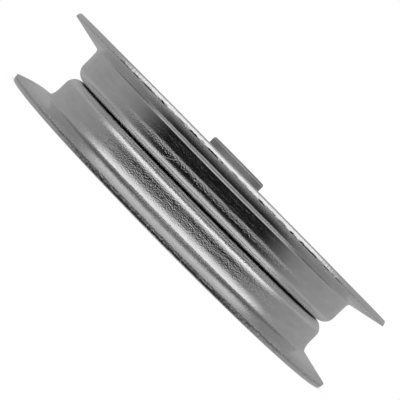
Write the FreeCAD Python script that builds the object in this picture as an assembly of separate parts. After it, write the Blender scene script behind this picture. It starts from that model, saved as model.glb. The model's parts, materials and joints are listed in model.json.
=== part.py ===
import FreeCAD, Part
import math
import os

# Flanged idler pulley for a flat belt, in millimetres.
# Two equal sheet-steel pressings are riveted back to back and trap a sealed ball bearing
# between their collars. Two turned spacers fill the bearing's bore and take the bolt.
# The origin is on the axis, in the plane where the two pressings meet, and +Z runs
# along the axis to the side of the long spacer.

# Pressed halves
sheet = 1.9                       # thickness of the steel sheet
belt_face_diameter = 114.3
flange_diameter = 139.7
face_half_width = 10.4            # seam plane to where the face and the flange lines cross
flange_dish = 12.4                # degrees that the flange leans away from the belt
corner_bend = 2.0                 # inside bend radius, web to belt face
root_bend = 2.4                   # inside bend radius, belt face to flange
collar_bend = 1.2                 # inside bend radius, web to bearing collar
collar_lip = 2.8                  # how far the collar's lip reaches over the bearing

# Rivets through the two webs
rivet_count = 6
rivet_circle_diameter = 76.0
rivet_diameter = 4.8
rivet_hole_clearance = 0.05       # radial
rivet_head_diameter = 8.4
rivet_head_height = 1.3
rivet_clinch_diameter = 7.4       # rolled end of the tubular side
rivet_clinch_height = 1.0
rivet_hollow_diameter = 2.6

# Ball bearing
bearing_bore = 17.0
bearing_diameter = 40.0
bearing_width = 12.0
ring_chamfer = 0.8
ball_count = 8
ball_diameter = 6.747
ball_clearance = 0.01             # between a ball and each raceway
groove_to_ball = 0.52             # raceway groove radius as a share of the ball's diameter
inner_groove_depth = 1.38
outer_groove_depth = 1.13
bearing_seat_clearance = 0.01     # radial, ring in the collars
lip_corner_clearance = 0.1        # between the ring's chamfer and the lip's bend

# Ball cage, two ribbons riveted together
cage_sheet = 0.5
cage_pocket_clearance = 0.08      # between a ball and its pocket
cage_side_gap = 0.6               # between the ribbons and the ring shoulders
cage_rivet_diameter = 1.2
cage_rivet_clearance = 0.02       # radial
cage_rivet_head_diameter = 2.0
cage_rivet_head_height = 0.35

# Rubber seals
seal_recess = 0.6                 # from the bearing's end plane down to the seal
seal_thickness = 0.9
seal_seat_step = 1.0              # from the outer ring's shoulder out to the seal's seat
seal_bead_depth = 0.35            # snap groove in the outer ring
seal_bead_width = 0.6
seal_edge_clearance = 0.05        # seal's rim in its seat
seal_lip_clearance = 0.06         # running gap on the inner ring
seal_lip_width = 0.8
seal_dish_depth = 0.25            # shallow hollow in the seal's outer face
seal_rim_width = 0.9

# Turned spacers
bolt_bore = 9.7
spacer_diameter = 22.4
shank_clearance = 0.01            # radial, shank in the inner ring
upper_head_length = 11.85         # from the bearing's end plane
lower_head_length = 3.0
spacer_chamfer = 0.45
bore_chamfer = 0.4

# Places worked out from the sizes above
face_radius = belt_face_diameter / 2
flange_radius = flange_diameter / 2
pocket_radius = bearing_diameter / 2 + bearing_seat_clearance
lip_bend = ring_chamfer - lip_corner_clearance
ring_end = bearing_width / 2
ball_radius = ball_diameter / 2
pitch_radius = (bearing_bore + bearing_diameter) / 4
groove_radius = groove_to_ball * ball_diameter
inner_groove_bottom = pitch_radius - ball_radius - ball_clearance
outer_groove_bottom = pitch_radius + ball_radius + ball_clearance
inner_shoulder = inner_groove_bottom + inner_groove_depth
outer_shoulder = outer_groove_bottom - outer_groove_depth
seal_top = ring_end - seal_recess
seal_bottom = seal_top - seal_thickness
seal_seat_radius = outer_shoulder + seal_seat_step
snap_groove_radius = seal_seat_radius + seal_bead_depth
snap_groove_top = seal_bottom + seal_bead_width
spacer_shank_radius = bearing_bore / 2 - shank_clearance

centre = FreeCAD.Vector(0, 0, 0)
axis = FreeCAD.Vector(0, 0, 1)
cross_axis = FreeCAD.Vector(1, 0, 0)


def at(radius, height):
    return FreeCAD.Vector(radius, 0, height)


def line(start, end):
    return Part.LineSegment(start, end).toShape()


def arc(start, middle, end):
    return Part.Arc(start, middle, end).toShape()


def straight_edges(points):
    return [line(a, b) for a, b in zip(points, points[1:])]


def turned(edges):
    """Solid of revolution from the edges of a closed profile."""
    profile = Part.Face(Part.Wire(edges))
    return profile.revolve(centre, axis, 360)


def turned_polygon(points):
    return turned(straight_edges(points + points[:1]))


def around(shape, angle):
    copy = shape.copy()
    copy.rotate(centre, axis, angle)
    return copy


def turned_over(shape):
    copy = shape.copy()
    copy.rotate(centre, cross_axis, 180)
    return copy


def ring_pattern(shape, count, first_angle):
    return [around(shape, first_angle + 360 * k / count) for k in range(count)]


def bend(before, corner, after, radius):
    """Tangent arc of a bend at a corner, as its start, middle and end."""
    to_before = (before - corner).normalize()
    to_after = (after - corner).normalize()
    half_angle = to_before.getAngle(to_after) / 2
    reach = radius / math.tan(half_angle)
    inwards = (to_before + to_after).normalize()
    depth = radius / math.sin(half_angle) - radius
    return corner + to_before * reach, corner + inwards * depth, corner + to_after * reach


def bent_path(corners, radii):
    """Open wire through the corners, with a bend of the given radius at each inner one."""
    edges = []
    here = corners[0]
    for k, radius in enumerate(radii, start=1):
        start, middle, end = bend(corners[k - 1], corners[k], corners[k + 1], radius)
        edges.append(line(here, start))
        edges.append(arc(start, middle, end))
        here = end
    edges.append(line(here, corners[-1]))
    return Part.Wire(edges)


def pressed_half():
    """One pressing: the side of the sheet that faces the bearing, the seam and the belt
    is drawn from the lip to the flange's edge, and the sheet's thickness lies behind it."""
    lean = math.radians(flange_dish)
    flange_edge_height = face_half_width + (flange_radius - face_radius) * math.tan(lean)
    corners = [
        at(pocket_radius - collar_lip, ring_end),
        at(pocket_radius, ring_end),
        at(pocket_radius, 0),
        at(face_radius, 0),
        at(face_radius, face_half_width),
        at(flange_radius, flange_edge_height),
    ]
    radii = [lip_bend, collar_bend + sheet, corner_bend + sheet, root_bend]
    section = bent_path(corners, radii).makeOffset2D(sheet, 0, True, True)
    pressing = section.revolve(centre, axis, 360)
    hole_radius = rivet_diameter / 2 + rivet_hole_clearance
    hole = Part.makeCylinder(hole_radius, 3 * sheet, at(rivet_circle_diameter / 2, -sheet))
    first_angle = 180 / rivet_count
    return pressing.cut(ring_pattern(hole, rivet_count, first_angle))


def rivet():
    """Rivet with a button head above the upper web and a rolled tubular end below."""
    shank = rivet_diameter / 2
    head = rivet_head_diameter / 2
    clinch = rivet_clinch_diameter / 2
    hollow = rivet_hollow_diameter / 2
    dome = (head ** 2 + rivet_head_height ** 2) / (2 * rivet_head_height)
    dome_centre = sheet + rivet_head_height - dome
    half_way = dome_centre + math.sqrt(dome ** 2 - (head / 2) ** 2)
    clinch_end = -sheet - rivet_clinch_height
    roll = rivet_clinch_height / math.sqrt(2)
    edges = straight_edges([
        at(0, -sheet),
        at(0, sheet + rivet_head_height),
    ])
    edges.append(arc(at(0, sheet + rivet_head_height), at(head / 2, half_way), at(head, sheet)))
    edges += straight_edges([
        at(head, sheet),
        at(shank, sheet),
        at(shank, -sheet),
        at(clinch, -sheet),
    ])
    roll_centre = clinch - rivet_clinch_height
    edges.append(arc(at(clinch, -sheet),
                     at(roll_centre + roll, -sheet - roll),
                     at(roll_centre, clinch_end)))
    edges += straight_edges([
        at(roll_centre, clinch_end),
        at(hollow, -sheet),
        at(0, -sheet),
    ])
    return turned(edges)


def rivet_set():
    placed = rivet()
    placed.translate(at(rivet_circle_diameter / 2, 0))
    return Part.makeCompound(ring_pattern(placed, rivet_count, 180 / rivet_count))


def groove_half_width(shoulder, bottom):
    """Half of the raceway's width where it meets the ring's shoulder."""
    depth = abs(shoulder - bottom)
    return math.sqrt(groove_radius ** 2 - (groove_radius - depth) ** 2)


def outer_ring():
    radius = bearing_diameter / 2
    half = groove_half_width(outer_shoulder, outer_groove_bottom)
    seat = [
        at(outer_shoulder, half),
        at(outer_shoulder, seal_bottom),
        at(snap_groove_radius, seal_bottom),
        at(snap_groove_radius, snap_groove_top),
        at(seal_seat_radius, snap_groove_top),
        at(seal_seat_radius, ring_end),
        at(radius - ring_chamfer, ring_end),
        at(radius, ring_end - ring_chamfer),
    ]
    below = [at(point.x, -point.z) for point in reversed(seat)]
    edges = straight_edges(seat + below)
    edges.append(arc(below[-1], at(outer_groove_bottom, 0), seat[0]))
    return turned(edges)


def inner_ring():
    radius = bearing_bore / 2
    half = groove_half_width(inner_shoulder, inner_groove_bottom)
    side = [
        at(inner_shoulder, half),
        at(inner_shoulder, ring_end),
        at(radius + ring_chamfer, ring_end),
        at(radius, ring_end - ring_chamfer),
    ]
    below = [at(point.x, -point.z) for point in reversed(side)]
    edges = straight_edges(side + below)
    edges.append(arc(below[-1], at(inner_groove_bottom, 0), side[0]))
    return turned(edges)


def balls():
    ball = Part.makeSphere(ball_radius, at(pitch_radius, 0))
    return ring_pattern(ball, ball_count, 0)


def cage_ribbon():
    """Upper ribbon: a flat band with a round pocket pressed into it over each ball."""
    inside = inner_shoulder + cage_side_gap
    outside = outer_shoulder - cage_side_gap
    pocket_inner = ball_radius + cage_pocket_clearance
    pocket_outer = pocket_inner + cage_sheet
    band = turned_polygon([
        at(inside, 0),
        at(outside, 0),
        at(outside, pocket_outer),
        at(inside, pocket_outer),
    ])
    flat = turned_polygon([
        at(inside, 0),
        at(outside, 0),
        at(outside, cage_sheet),
        at(inside, cage_sheet),
    ])
    bulge = Part.makeSphere(pocket_outer, at(pitch_radius, 0))
    bulges = [ball.common(band) for ball in ring_pattern(bulge, ball_count, 0)]
    hollow = Part.makeSphere(pocket_inner, at(pitch_radius, 0))
    hole_radius = cage_rivet_diameter / 2 + cage_rivet_clearance
    hole = Part.makeCylinder(hole_radius, 3 * cage_sheet, at(pitch_radius, -cage_sheet))
    cuts = ring_pattern(hollow, ball_count, 0) + ring_pattern(hole, ball_count, 180 / ball_count)
    return flat.fuse(bulges).cut(cuts)


def cage_rivet_set():
    shank = cage_rivet_diameter / 2
    head = cage_rivet_head_diameter / 2
    top = cage_sheet + cage_rivet_head_height
    rivet_form = turned_polygon([
        at(0, -top),
        at(head, -top),
        at(head, -cage_sheet),
        at(shank, -cage_sheet),
        at(shank, cage_sheet),
        at(head, cage_sheet),
        at(head, top),
        at(0, top),
    ])
    rivet_form.translate(at(pitch_radius, 0))
    return Part.makeCompound(ring_pattern(rivet_form, ball_count, 180 / ball_count))


def seal():
    """Upper seal: a rubber disc with a bead in the outer ring and a lip at the inner ring."""
    lip = inner_shoulder + seal_lip_clearance
    rim = seal_seat_radius - seal_edge_clearance
    bead = snap_groove_radius - seal_edge_clearance
    bead_top = snap_groove_top - seal_edge_clearance
    return turned_polygon([
        at(lip, seal_bottom),
        at(lip, seal_top),
        at(lip + seal_lip_width, seal_top),
        at(lip + seal_lip_width + seal_dish_depth, seal_top - seal_dish_depth),
        at(rim - seal_rim_width - seal_dish_depth, seal_top - seal_dish_depth),
        at(rim - seal_rim_width, seal_top),
        at(rim, seal_top),
        at(rim, bead_top),
        at(bead, bead_top),
        at(bead, seal_bottom),
    ])


def spacer(head_length):
    """Spacer above the seam plane: a shank in the inner ring and a head on its end face."""
    bore = bolt_bore / 2
    head = spacer_diameter / 2
    end = ring_end + head_length
    return turned_polygon([
        at(bore, 0),
        at(spacer_shank_radius, 0),
        at(spacer_shank_radius, ring_end),
        at(head, ring_end),
        at(head, end - spacer_chamfer),
        at(head - spacer_chamfer, end),
        at(bore + bore_chamfer, end),
        at(bore, end - bore_chamfer),
    ])


def build():
    upper_half = pressed_half()
    cage_upper = cage_ribbon()
    upper_seal = seal()
    pieces = {
        "upper_half": upper_half,
        "lower_half": turned_over(upper_half),
        "rivets": rivet_set(),
        "bearing_outer_ring": outer_ring(),
        "bearing_inner_ring": inner_ring(),
        "cage_upper": cage_upper,
        "cage_lower": turned_over(cage_upper),
        "cage_rivets": cage_rivet_set(),
        "upper_seal": upper_seal,
        "lower_seal": turned_over(upper_seal),
        "upper_spacer": spacer(upper_head_length),
        "lower_spacer": turned_over(spacer(lower_head_length)),
    }
    for number, ball in enumerate(balls(), start=1):
        pieces[f"ball_{number}"] = ball
    return pieces


os.makedirs("parts", exist_ok=True)
for name, shape in build().items():
    shape.exportStep(f"parts/{name}.step")
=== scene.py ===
import bpy
import json
import math
from mathutils import Matrix, Vector, noise


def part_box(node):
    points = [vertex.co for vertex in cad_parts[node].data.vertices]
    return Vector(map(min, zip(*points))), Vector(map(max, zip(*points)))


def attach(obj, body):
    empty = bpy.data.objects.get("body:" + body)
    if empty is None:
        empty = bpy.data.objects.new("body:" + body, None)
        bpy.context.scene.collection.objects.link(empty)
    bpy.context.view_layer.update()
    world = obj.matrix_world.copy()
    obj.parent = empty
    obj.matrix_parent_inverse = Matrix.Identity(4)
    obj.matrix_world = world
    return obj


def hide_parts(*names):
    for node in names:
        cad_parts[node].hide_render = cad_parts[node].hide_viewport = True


# Looks of the flanged idler pulley, in metres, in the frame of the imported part.
# The two pressed halves get finer meshes with punched, worn rims. The other pieces keep
# their shape and get their finish here.

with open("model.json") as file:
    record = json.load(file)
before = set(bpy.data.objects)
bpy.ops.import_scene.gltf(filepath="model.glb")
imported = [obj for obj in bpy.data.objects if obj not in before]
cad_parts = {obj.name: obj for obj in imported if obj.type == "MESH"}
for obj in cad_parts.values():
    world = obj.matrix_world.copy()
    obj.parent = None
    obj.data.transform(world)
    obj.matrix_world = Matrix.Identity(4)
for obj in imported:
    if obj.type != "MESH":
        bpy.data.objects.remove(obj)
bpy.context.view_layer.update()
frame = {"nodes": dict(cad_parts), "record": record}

# Sheet of the pressed halves, beside the sizes that the frame gives
sheet = 0.0019
corner_bends = {"upper_half": 0.00185, "lower_half": 0.00168}   # inside radius
seam_openings = {"upper_half": 0.00004, "lower_half": 0.00038}  # web's rise at the corner
collar_bend = 0.0012              # inside radius
lip_bend = 0.0007
lip_reach = 0.0028                # collar's lip over the bearing

# Dish of each flange as pressed, and how far its root stands out at the left and right of the
# photo and in at the front and back
dishes = {"upper_half": math.radians(13.2), "lower_half": math.radians(12.4)}
warps = {"upper_half": 0.0002, "lower_half": -0.0001}

# Bend at the root of each flange, in two turns: the slope between them from the belt face,
# its depth below the flange's line, and the radius towards the face and the flange
roots = {
    "upper_half": (math.radians(23.9), 0.00069, 0.0015, 0.00105),
    "lower_half": (math.radians(19.7), 0.00188, 0.0066, 0.00170),
}

# Unevenness left by the press
wave_height = 0.00003
wave_length = 0.020
face_draft = math.radians(1.6)    # the belt face opens slightly away from the seam
draft_pivot = 0.0055              # height above the seam where the face is true
draft_power = 4                   # with which the draft sets in from the bearing to the face
warp_power = 4                    # with which the warp sets in from the seam to the root

# Step left in each belt face where the drawing stopped: height above the seam, depth and width
draw_lines = {
    "upper_half": (0.00515, 0.000062, 0.00025),
    "lower_half": (0.00482, 0.000036, 0.00017),
}

# Bulge in the lower flange, towards the belt
bulge_depth = 0.0006
bulge_angle = math.radians(180)
bulge_spread = math.radians(12)

# Punched rim. A share of its thickness is 0 at the belt side and 1 at the outside, where the
# punch left a rounding with a reach across the thickness and along the radius.
rollovers = {"upper_half": (0.00115, 0.00060), "lower_half": (0.0003, 0.0003)}
torn_shares = {"upper_half": 0.10, "lower_half": 0.42}  # part that broke, not cut
torn_depth = 0.00025
torn_end_depth = 0.3              # share of that depth where the torn part ends
torn_wander = 0.10                # how far the end of the torn part strays, as a share
wander_length = 0.0022
wander_change = 2                 # of that noise across the thickness
pit_length = 0.0007
pit_change = 6

# Looks of the rim: grey and roughness where it is cut and where it is torn, depth of the pits,
# and share of the grey that is left in the dark dashes along the end of the torn part, which
# are painted shadow under the burr there and partly dark tear pits
cut_grey = 0.72
cut_roughness = 0.22
torn_greys = {"upper_half": 0.38, "lower_half": 0.36}
torn_roughness = 0.30
torn_blend = 0.03                 # share of the thickness to either side of the torn part's end
ragged_size = 0.0015              # of the wander in that end, beside the one in the mesh
ragged_share = 0.12
bump_pit_size = 0.0012
pit_depths = {"upper_half": 0.0005, "lower_half": 0.0008}
cut_pits = 0.2                    # strength of the pits where the rim is cut
# Dashes along the end of the torn part: painted shadow under the burr, partly dark tear pits
burr_shadow_shades = {"upper_half": 0.03, "lower_half": 0.60}
burr_shadow_length = 0.0040
burr_shadow_breaks = (0.50, 0.53)       # values of the noise between which a dash of painted burr shadow begins
burr_shadow_spans = (0.09, 0.13)        # shares of the thickness over which it ends to either side
torn_reach = (0.036, 0.054)       # distance to the left or right over which the tearing fades
torn_least = 0.35                 # what is left of it there

# Zinc plating
zinc_greys = (0.60, 0.68)
zinc_roughness = (0.06, 0.14)
zinc_grain = 0.00034
zinc_grain_depth = 0.000065
patch_size = 0.009
patch_depth = 0.00005
patch_squash = 4.0                # how much shorter the patches are along the axis
corner_heights = (0.0022, 0.0030)  # over which the paler, rougher corner at the seam ends
corner_grey = 0.20                # added there
corner_roughness = 0.18           # added there
smooth_seam = (0.0010, 0.0034)    # heights over which the grain sets in
smooth_above = (0.0048, 0.0056)   # heights over which it fades on the upper belt face
smooth_beyond = 0.002             # distance past the belt face over which it fades
smooth_least = 0.2                # what is left of it there
rubbed_start = 0.005              # from the belt face to where the flange is rubbed
rubbed_metallic = 0.7             # at the rim
rubbed_roughness = 0.3            # added at the rim

# Hairline scratch on the upper belt face: its ends (across, height) and half its width
scratch_ends = ((-0.0168, 0.0026), (-0.0124, 0.0049))
scratch_width = 0.00012
scratch_core = 0.4                # share of that width at full depth
scratch_curve = 1.6
scratch_depth = 0.00005
scratch_roughness = 0.4

# Noise: the middle of its range, and its roughness
noise_middle = (0.3, 0.7)
noise_roughness = 0.6

# Mottling of the metals, as shares of their grey and roughness
plain_mottle = (0.92, 1.06)
turned_mottle = (0.8, 1.2)
rough_mottle = (0.85, 1.15)

# Dull grain of the turned pieces, beside the marks of the lathe
turned_grain = 0.0008
turned_grain_depth = 0.00002

# Rubber of the seals
rubber_greys = (0.018, 0.035)
rubber_roughness = (0.5, 0.7)
rubber_grain = 0.0005
rubber_grain_depth = 0.00002

# Painted highlight near the spacer's end, a pale line where its edge catches the light: height,
# half its width at full strength and in all, and gain in grey
highlight_line = 0.0172
highlight_widths = (0.0001, 0.0003)
highlight_gain = 1.8

# Meshes of the halves
turns = 1000                      # columns round the axis
bend_support = 0.0002             # from each bend to the next row on the straight
flat_steps = 4                    # rows on the flat of the rim
roll_steps = 5                    # rows on its rounding
flange_steps = 5                  # steps along the flange
far_step = 3                      # one row in three is enough on the side away from the belt

# Camera, where the photograph was taken from
camera_distance = 0.538
camera_height = 0.0127
camera_aim = -0.0001              # height of the point that it looks at
axis_lean = math.radians(44.6)    # of the axis in the picture, above the horizontal
focal_length = 0.1500
sensor_width = 0.036

# Floor
floor_size = 6.0
shadow_reach = 0.03
shadow_grey = 0.45                # where nothing of the room reaches the floor
shadow_end = 0.55                 # share of the room that leaves the floor white

# Sizes and places from the frame
flange_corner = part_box("upper_half")[1]
flange_radius = flange_corner.x
flange_edge = flange_corner.z
floor_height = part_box("lower_half")[0].z
ring_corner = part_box("bearing_outer_ring")[1]
pocket_radius = ring_corner.x
ring_end = ring_corner.z
mounts = {mount["name"]: mount for mount in frame["record"]["mounts"]}
face_radius = mounts["belt_face"]["dims"]["r_mm"] / 1000


# Section of a half, as it lies above the seam. Each row is a point (radius, height) on the side
# that faces the bearing, the seam and the belt, with the direction from it into the sheet.

def left_of(way):
    return Vector((-way.y, way.x))


def straight_rows(start, end, steps):
    way = end - start
    inset = bend_support / way.length
    shares = [inset + (1 - 2 * inset) * k / steps for k in range(steps + 1)]
    return [(start + way * share, left_of(way.normalized())) for share in shares]


def bend_rows(before, corner, after, radius, steps):
    to_before = (before - corner).normalized()
    to_after = (after - corner).normalized()
    half_angle = to_before.angle(to_after) / 2
    centre = corner + (to_before + to_after).normalized() * radius / math.sin(half_angle)
    reach = radius / math.tan(half_angle)
    first = (corner + to_before * reach - centre).normalized()
    last = (corner + to_after * reach - centre).normalized()
    side = math.copysign(1, left_of(corner - before).dot(centre - corner))
    spokes = [first.slerp(last, k / steps) for k in range(steps + 1)]
    return [(centre + spoke * radius, -side * spoke) for spoke in spokes]


def flange_root(node):
    """Height of a flange's root, and how far the flange rises from there to its rim."""
    rise = (flange_radius - face_radius) * math.tan(dishes[node])
    return flange_edge - sheet * math.cos(dishes[node]) - rise, rise


def face_shift(point, node):
    """How far the pressed belt face stands off a true cylinder, as a shift of the radius."""
    line_height, depth, width = draw_lines[node]
    reach = (point.x - face_radius) / (flange_radius - face_radius)
    near_face = min(max((point.x - pocket_radius) / (face_radius - pocket_radius), 0), 1)
    height = min(point.y, flange_root(node)[0])
    draft = (height - draft_pivot) * math.tan(face_draft)
    step = -depth / (1 + math.exp((line_height - height) / width))
    return (draft + step) * near_face ** draft_power * (1 - max(reach, 0))


def section_rows(node):
    """Rows from the collar's lip over the bearing to the edge of the flange."""
    slope, drop, face_bend, root_bend = roots[node]
    root_height, rise = flange_root(node)
    flange_slope = rise / (flange_radius - face_radius)
    slope_run = drop / (1 / math.tan(slope) - flange_slope)
    corners = [
        Vector((pocket_radius - lip_reach, ring_end)),
        Vector((pocket_radius, ring_end)),
        Vector((pocket_radius, 0)),
        Vector((face_radius, seam_openings[node])),
        Vector((face_radius, root_height - drop)),
        Vector((face_radius + slope_run, root_height + slope_run * flange_slope)),
        Vector((flange_radius, root_height + rise)),
    ]
    bends = [                     # radius, steps on the bend, steps on the straight before it
        (lip_bend, 3, 1),
        (collar_bend + sheet, 4, 1),
        (corner_bends[node] + sheet, 12, 1),
        (face_bend, 8, 12),
        (root_bend, 6, 0),
    ]
    rows = []
    here = corners[0]
    for k, (radius, bend_steps, straight_steps) in enumerate(bends, start=1):
        bend = bend_rows(corners[k - 1], corners[k], corners[k + 1], radius, bend_steps)
        if straight_steps:
            rows += straight_rows(here, bend[0][0], straight_steps)
        rows += bend
        here = bend[-1][0]
    rows += straight_rows(here, corners[-1], flange_steps)
    rows = [(corners[0], rows[0][1])] + rows + [(corners[-1], rows[-1][1])]
    return [(point + Vector((face_shift(point, node), 0)), normal) for point, normal in rows]


def rim_rows(node):
    """Shares of the thickness along the rim, each with how far the rollover stands back."""
    across, depth = rollovers[node]
    flat = 1 - across / sheet
    rows = [(flat * k / flat_steps, 0) for k in range(1, flat_steps + 1)]
    for k in range(1, roll_steps + 1):
        angle = math.pi / 2 * k / roll_steps
        rows.append((flat + (1 - flat) * math.sin(angle), depth * (1 - math.cos(angle))))
    return rows


def torn_edge(share, along, torn, seed):
    """How far the torn part of the rim stands back, at a share of the thickness."""
    ragged = noise.noise(Vector((along / wander_length, share * wander_change, seed)))
    limit = torn + torn_wander * ragged
    if share < limit:
        pitted = noise.noise(Vector((along / pit_length, share * pit_change, seed + 5)))
        fading = torn_end_depth + (1 - torn_end_depth) * (1 - share / limit)
        return torn_depth * (1 + pitted) * fading
    return 0


def half_mesh(name, node, side, seed):
    """Turned mesh of a half. side is 1 for the upper one and -1 for the lower one."""
    near = section_rows(node)
    root_height = flange_root(node)[0]
    rim = rim_rows(node)
    rim_start, across = near[-1]
    outwards = Vector((across.y, -across.x))
    far = near[:-2][::-far_step]
    rim_first = len(near)
    far_first = rim_first + len(rim)
    vertices = []
    for column in range(turns):
        angle = math.tau * column / turns
        along = angle * flange_radius
        wave = wave_height * noise.noise(Vector((math.cos(angle), math.sin(angle), seed))
                                         * flange_radius / wave_length)
        off = (angle - bulge_angle + math.pi) % math.tau - math.pi
        bulge = bulge_depth * math.exp(-(off / bulge_spread) ** 2) if side < 0 else 0
        warp = warps[node] * math.cos(2 * angle)
        ring = [point + normal * wave for point, normal in near]
        for share, rolled in rim:
            back = torn_edge(share, along, torn_shares[node], seed) + rolled
            ring.append(rim_start + across * (sheet * share + wave) - outwards * back)
        ring += [point + normal * (sheet + wave) for point, normal in far]
        for point in ring:
            reach = min(max((point.x - face_radius) / (flange_radius - face_radius), 0), 1)
            near_root = min(max(point.y / root_height, 0), 1) ** warp_power * (1 - reach)
            lift = warp * near_root - bulge * math.sin(math.pi * reach)
            vertices.append((point.x * math.cos(angle), point.x * math.sin(angle),
                             side * (point.y + lift)))
    rows = far_first + len(far)
    faces = []
    for column in range(turns):
        here = column * rows
        there = (column + 1) % turns * rows
        for row in range(rows):
            following = (row + 1) % rows
            face = (here + row, there + row, there + following, here + following)
            faces.append(face if side > 0 else face[::-1])
    mesh = bpy.data.meshes.new(name)
    mesh.from_pydata(vertices, [], faces)
    mesh.polygons.foreach_set("use_smooth", [True] * len(faces))
    across_share = mesh.attributes.new("rim_share", "FLOAT", "POINT")
    shares = [0.0] * rim_first + [share for share, rolled in rim] + [1.0] * len(far)
    across_share.data.foreach_set("value", shares * turns)
    on_rim = [int(rim_first - 1 <= row < far_first - 1) for row in range(rows)]
    mesh.polygons.foreach_set("material_index", on_rim * turns)
    mesh.update()
    made = bpy.data.objects.new(name, mesh)
    bpy.context.collection.objects.link(made)
    return made


# Materials

def add(tree, kind, inputs=None, **settings):
    """A node with its settings, and its inputs set to values or linked to outputs."""
    made = tree.nodes.new(kind)
    for key, value in settings.items():
        setattr(made, key, value)
    for key, value in (inputs or {}).items():
        if isinstance(value, bpy.types.NodeSocket):
            tree.links.new(value, made.inputs[key])
        else:
            made.inputs[key].default_value = value
    return made


def ramp(tree, value, stops):
    """The grey that the stops give for a value from 0 to 1."""
    made = add(tree, "ShaderNodeValToRGB", {"Fac": value})
    elements = made.color_ramp.elements
    elements[0].position, elements[1].position = stops[0][0], stops[-1][0]
    for stop in stops[1:-1]:
        elements.new(stop[0])
    for element, (position, grey) in zip(elements, stops):
        element.position = position
        element.color = (grey, grey, grey, 1)
    return made.outputs["Color"]


def scaled(tree, value, low, high, to_low, to_high):
    made = add(tree, "ShaderNodeMapRange", {
        "Value": value, "From Min": low, "From Max": high, "To Min": to_low, "To Max": to_high})
    return made.outputs["Result"]


def spread(tree, noise_value, to_low, to_high):
    """The middle of a noise's range, scaled."""
    return scaled(tree, noise_value, *noise_middle, to_low, to_high)


def mottled(tree, noise_value, greys):
    """From the first grey to the second over the middle of a noise's range."""
    return ramp(tree, noise_value, list(zip(noise_middle, greys)))


def maths(tree, operation, first, second=0.0):
    made = add(tree, "ShaderNodeMath", {0: first, 1: second}, operation=operation)
    return made.outputs[0]


def cloud(tree, vector, size, detail=2.0):
    """Noise with features of the given size in metres."""
    made = add(tree, "ShaderNodeTexNoise", {
        "Vector": vector, "Scale": 1 / size, "Detail": detail, "Roughness": noise_roughness})
    return made.outputs["Fac"]


def new_material(name):
    made = bpy.data.materials.new(name)
    made.use_nodes = True
    tree = made.node_tree
    tree.nodes.clear()
    return made, tree


def finish_material(tree, inputs, bumps):
    """The shader and its bumps, each a height from 0 to 1 and its depth in metres."""
    normal = None
    for height, depth in bumps:
        links = {"Height": height, "Distance": depth}
        if normal:
            links["Normal"] = normal
        normal = add(tree, "ShaderNodeBump", links).outputs["Normal"]
    inputs["Normal"] = normal
    shader = add(tree, "ShaderNodeBsdfPrincipled", inputs)
    add(tree, "ShaderNodeOutputMaterial", {"Surface": shader.outputs["BSDF"]})


def place(tree):
    return add(tree, "ShaderNodeTexCoord").outputs["Object"]


def from_axis(tree, apart):
    squares = [maths(tree, "POWER", apart.outputs[axis], 2.0) for axis in "XY"]
    return maths(tree, "SQRT", maths(tree, "ADD", squares[0], squares[1]))


def hair_scratch(tree, apart):
    """1 on the curved hairline at the front of the upper belt face, 0 elsewhere."""
    (left, low), (right, high) = scratch_ends
    along = scaled(tree, apart.outputs["X"], left, right, 0.0, 1.0)
    middle = scaled(tree, maths(tree, "POWER", along, scratch_curve), 0.0, 1.0, low, high)
    off = maths(tree, "ABSOLUTE", maths(tree, "SUBTRACT", apart.outputs["Z"], middle))
    line = scaled(tree, off, scratch_width * scratch_core, scratch_width, 1.0, 0.0)
    inside = maths(tree, "MULTIPLY",
                   maths(tree, "GREATER_THAN", apart.outputs["X"], left),
                   maths(tree, "LESS_THAN", apart.outputs["X"], right))
    return maths(tree, "MULTIPLY", maths(tree, "MULTIPLY", line, inside),
                 maths(tree, "LESS_THAN", apart.outputs["Y"], 0.0))


def zinc_sheet():
    """Bright plating: grained on the belt faces, paler at the seam, dull towards the rim."""
    made, tree = new_material("zinc_sheet")
    here = place(tree)
    grain = cloud(tree, here, zinc_grain, detail=0.0)
    squashed = add(tree, "ShaderNodeVectorMath", {0: here, 1: (1.0, 1.0, patch_squash)},
                   operation="MULTIPLY")
    patches = cloud(tree, squashed.outputs["Vector"], patch_size)
    apart = add(tree, "ShaderNodeSeparateXYZ", {"Vector": here})
    across = from_axis(tree, apart)
    scratch = hair_scratch(tree, apart)
    outside = add(tree, "ShaderNodeAttribute", attribute_name="rim_share").outputs["Fac"]
    rubbed = maths(tree, "MULTIPLY",
                   scaled(tree, across, face_radius + rubbed_start, flange_radius, 0.0, 1.0),
                   maths(tree, "SUBTRACT", 1.0, outside))
    height = maths(tree, "ABSOLUTE", apart.outputs["Z"])
    pale = scaled(tree, height, *corner_heights, 1.0, 0.0)
    uneven = maths(tree, "MULTIPLY",
                   scaled(tree, apart.outputs["Z"], *smooth_above, 1.0, smooth_least),
                   scaled(tree, across, face_radius, face_radius + smooth_beyond,
                          1.0, smooth_least))
    coarse = maths(tree, "MULTIPLY", maths(tree, "MULTIPLY", grain, uneven),
                   scaled(tree, height, *smooth_seam, 0.0, 1.0))
    grey = maths(tree, "ADD", spread(tree, patches, *zinc_greys),
                 maths(tree, "MULTIPLY", pale, corner_grey))
    polish = maths(tree, "ADD", spread(tree, grain, *zinc_roughness),
                   maths(tree, "MULTIPLY", pale, corner_roughness))
    wear = maths(tree, "ADD", maths(tree, "MULTIPLY", scratch, scratch_roughness),
                 maths(tree, "MULTIPLY", rubbed, rubbed_roughness))
    finish_material(tree, {
        "Base Color": grey,
        "Metallic": scaled(tree, rubbed, 0.0, 1.0, 1.0, rubbed_metallic),
        "Roughness": maths(tree, "ADD", polish, wear),
    }, [(coarse, zinc_grain_depth), (patches, patch_depth), (scratch, scratch_depth)])
    return made


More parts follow.
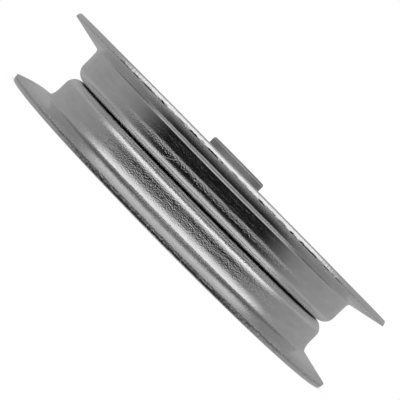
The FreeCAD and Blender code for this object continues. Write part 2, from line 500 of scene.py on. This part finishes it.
def cut_rim(node):
    """Punched edge: bright where it is cut, pitted where it tore, with dark dashes between, which
    are painted shadow under the burr and partly dark pits, and which fade out towards the left
    and right."""
    made, tree = new_material("cut_rim_" + node)
    here = place(tree)
    share = add(tree, "ShaderNodeAttribute", attribute_name="rim_share").outputs["Fac"]
    wander = cloud(tree, here, ragged_size, detail=4.0)
    ragged = spread(tree, wander, -ragged_share, ragged_share)
    uneven_share = maths(tree, "ADD", share, ragged)
    torn_share = torn_shares[node]
    torn_end = (torn_share - torn_blend, torn_share + torn_blend)
    left_right = add(tree, "ShaderNodeSeparateXYZ", {"Vector": here}).outputs["X"]
    worst = scaled(tree, maths(tree, "ABSOLUTE", left_right), *torn_reach, 1.0, 0.0)
    torn = maths(tree, "MULTIPLY",
                 scaled(tree, uneven_share, *torn_end, 1.0, 0.0),
                 scaled(tree, worst, 0.0, 1.0, torn_least, 1.0))
    off = maths(tree, "ABSOLUTE", maths(tree, "SUBTRACT", uneven_share, torn_share))
    # Painted shadow under the burr, in dashes along the end of the torn part, partly dark tear
    # pits
    shadow_dash_noise = cloud(tree, here, burr_shadow_length, detail=1.0)
    shadow_dashes = scaled(tree, shadow_dash_noise, *burr_shadow_breaks, 0.0, 1.0)
    pits_and_burr_shadow = maths(tree, "MULTIPLY", scaled(tree, off, *burr_shadow_spans, 1.0, 0.0),
                   maths(tree, "MULTIPLY", shadow_dashes, worst))
    pits = maths(tree, "MULTIPLY", cloud(tree, here, bump_pit_size),
                 maths(tree, "ADD", torn, cut_pits))
    finish_material(tree, {
        "Base Color": maths(tree, "MULTIPLY",
                            scaled(tree, torn, 0.0, 1.0, cut_grey, torn_greys[node]),
                            scaled(tree, pits_and_burr_shadow, 0.0, 1.0, 1.0, burr_shadow_shades[node])),
        "Metallic": 1.0,
        "Roughness": scaled(tree, torn, 0.0, 1.0, cut_roughness, torn_roughness),
    }, [(pits, pit_depths[node])])
    return made


def plain_metal(name, grey, roughness, grain_size, depth):
    made, tree = new_material(name)
    grain = cloud(tree, place(tree), grain_size, detail=3.0)
    finish_material(tree, {
        "Base Color": mottled(tree, grain, [grey * share for share in plain_mottle]),
        "Metallic": 1.0,
        "Roughness": spread(tree, grain, *[roughness * share for share in rough_mottle]),
    }, [(grain, depth)])
    return made


def turned_metal(name, grey, roughness, groove_size, depth):
    """Metal with fine marks of the lathe, which run round the axis."""
    made, tree = new_material(name)
    here = place(tree)
    apart = add(tree, "ShaderNodeSeparateXYZ", {"Vector": here})
    ring = add(tree, "ShaderNodeCombineXYZ", {
        "X": from_axis(tree, apart), "Y": apart.outputs["Z"]})
    grooves = cloud(tree, ring.outputs["Vector"], groove_size)
    grain = cloud(tree, here, turned_grain, detail=3.0)
    # Painted highlight: base colour brightened in a line near the spacer's end
    off = maths(tree, "ABSOLUTE", maths(tree, "SUBTRACT", apart.outputs["Z"], highlight_line))
    finish_material(tree, {
        "Base Color": maths(tree, "MULTIPLY",
                            spread(tree, grain, *[grey * share for share in turned_mottle]),
                            scaled(tree, off, *highlight_widths, highlight_gain, 1.0)),
        "Metallic": 1.0,
        "Roughness": spread(tree, grain, *[roughness * share for share in rough_mottle]),
    }, [(grooves, depth), (grain, turned_grain_depth)])
    return made


def rubber():
    made, tree = new_material("seal_rubber")
    grain = cloud(tree, place(tree), rubber_grain, detail=4.0)
    finish_material(tree, {
        "Base Color": mottled(tree, grain, rubber_greys),
        "Roughness": spread(tree, grain, *rubber_roughness),
    }, [(grain, rubber_grain_depth)])
    return made


# Studio

def studio_light():
    """Radiance by direction: a white backdrop for the camera, and for the metal a dark room
    in front with a bright strip above it and pale sides, top and back. Each list of stops
    gives an angle in degrees and a grey."""
    world = bpy.data.worlds.new("studio")
    bpy.context.scene.world = world
    world.use_nodes = True
    tree = world.node_tree
    tree.nodes.clear()
    way = add(tree, "ShaderNodeTexCoord").outputs["Generated"]
    apart = add(tree, "ShaderNodeSeparateXYZ", {"Vector": way})
    x, y, z = (apart.outputs[k] for k in "XYZ")
    elevation = scaled(tree, maths(tree, "ARCSINE", z), -math.pi / 2, math.pi / 2, 0, 1)
    turn = maths(tree, "ARCTAN2", maths(tree, "ABSOLUTE", x), maths(tree, "MULTIPLY", y, -1.0))
    azimuth = scaled(tree, turn, 0, math.pi, 0, 1)

    strength = 1.2
    front = ramp(tree, elevation, [((t + 90) / 180, grey / strength) for t, grey in [
        (-90, 1.00), (-60, 0.95), (-54, 0.90), (-50, 0.80), (-46, 0.37), (-42, 0.11),
        (-36, 0.035), (-25, 0.025), (-12, 0.010), (-2, 0.010), (-0.7, 0.04), (1, 0.23), (3, 0.35),
        (6, 0.45), (14, 0.66), (23, 1.02), (32, 1.25), (45, 1.18), (52, 0.95),
        (60, 0.62), (70, 0.48), (90, 0.42)]])
    window = ramp(tree, azimuth, [(t / 180, grey) for t, grey in [
        (0, 1.0), (74, 1.0), (88, 0.5), (104, 0.0), (180, 0.0)]])
    sides = ramp(tree, azimuth, [(t / 180, grey / strength) for t, grey in [
        (0, 0.0), (44, 0.01), (54, 0.08), (61, 0.15), (69, 0.25), (77, 0.31), (85, 0.35),
        (95, 0.37), (122, 0.41), (180, 0.41)]])
    light = maths(tree, "MAXIMUM", maths(tree, "MULTIPLY", front, window), sides)
    seen = add(tree, "ShaderNodeLightPath").outputs["Is Camera Ray"]
    room = add(tree, "ShaderNodeBackground", {"Color": light, "Strength": strength})
    white = add(tree, "ShaderNodeBackground", {"Color": (1, 1, 1, 1), "Strength": 1.0})
    both = add(tree, "ShaderNodeMixShader", {
        0: seen, 1: room.outputs["Background"], 2: white.outputs["Background"]})
    add(tree, "ShaderNodeOutputWorld", {"Surface": both.outputs["Shader"]})


def floor():
    """White floor with a soft contact shadow. Seen from below, it lets the view through."""
    corner = floor_size / 2
    mesh = bpy.data.meshes.new("floor")
    mesh.from_pydata([(-corner, -corner, floor_height), (corner, -corner, floor_height),
                      (corner, corner, floor_height), (-corner, corner, floor_height)],
                     [], [(0, 1, 2, 3)])
    made = bpy.data.objects.new("floor", mesh)
    bpy.context.collection.objects.link(made)
    made.visible_glossy = False
    material, tree = new_material("floor")
    open_share = add(tree, "ShaderNodeAmbientOcclusion", {"Distance": shadow_reach}, samples=4)
    shade = ramp(tree, open_share.outputs["AO"], [(0.0, shadow_grey), (shadow_end, 1.0)])
    pale = add(tree, "ShaderNodeEmission", {"Color": shade})
    clear = add(tree, "ShaderNodeBsdfTransparent")
    behind = add(tree, "ShaderNodeNewGeometry").outputs["Backfacing"]
    both = add(tree, "ShaderNodeMixShader", {
        0: behind, 1: pale.outputs["Emission"], 2: clear.outputs["BSDF"]})
    add(tree, "ShaderNodeOutputMaterial", {"Surface": both.outputs["Shader"]})
    mesh.materials.append(material)


def camera():
    data = bpy.data.cameras.new("camera")
    data.sensor_width = sensor_width * 1000
    data.lens = focal_length * 1000
    made = bpy.data.objects.new("camera", data)
    bpy.context.collection.objects.link(made)
    place_at = Vector((0, -math.sqrt(camera_distance ** 2 - camera_height ** 2), camera_height))
    ahead = (Vector((0, 0, camera_aim)) - place_at).normalized()
    axis_up = (Vector((0, 0, 1)) - ahead * ahead.z).normalized()
    cross = ahead.cross(axis_up)
    right = axis_up * math.cos(axis_lean) + cross * math.sin(axis_lean)
    up = axis_up * math.sin(axis_lean) - cross * math.cos(axis_lean)
    facing = Matrix((right, up, -ahead)).transposed().to_4x4()
    made.matrix_world = Matrix.Translation(place_at) @ facing
    bpy.context.scene.camera = made


# Pieces

def dress(node, material):
    mesh = frame["nodes"][node].data
    mesh.materials.clear()
    mesh.materials.append(material)


sheet_finish = zinc_sheet()
for name, node, side, seed in [
    ("pressed_half_upper", "upper_half", 1, 3),
    ("pressed_half_lower", "lower_half", -1, 17),
]:
    half = half_mesh(name, node, side, seed)
    half.data.materials.append(sheet_finish)
    half.data.materials.append(cut_rim(node))
    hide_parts(node)
    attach(half, "pulley")

# Grey, roughness, and the size and depth of the grain or of the lathe's marks
rivet_finish = plain_metal("rivet_steel", 0.58, 0.28, 0.0008, 0.00002)
ring_finish = turned_metal("bearing_steel", 0.62, 0.22, 0.0001, 0.000002)
ball_finish = plain_metal("ball_steel", 0.68, 0.08, 0.003, 0.000001)
cage_finish = plain_metal("cage_steel", 0.5, 0.35, 0.0008, 0.00001)
seal_finish = rubber()
spacer_finish = turned_metal("spacer_steel", 0.36, 0.40, 0.0003, 0.00001)
finishes = {
    "rivets": rivet_finish,
    "bearing_outer_ring": ring_finish,
    "bearing_inner_ring": ring_finish,
    "cage_upper": cage_finish,
    "cage_lower": cage_finish,
    "cage_rivets": cage_finish,
    "upper_seal": seal_finish,
    "lower_seal": seal_finish,
    "upper_spacer": spacer_finish,
    "lower_spacer": spacer_finish,
}
for node, finish in finishes.items():
    dress(node, finish)
for node in frame["nodes"]:
    if node.startswith("ball_"):
        dress(node, ball_finish)

bpy.context.scene.view_settings.view_transform = "Standard"
studio_light()
floor()
camera()
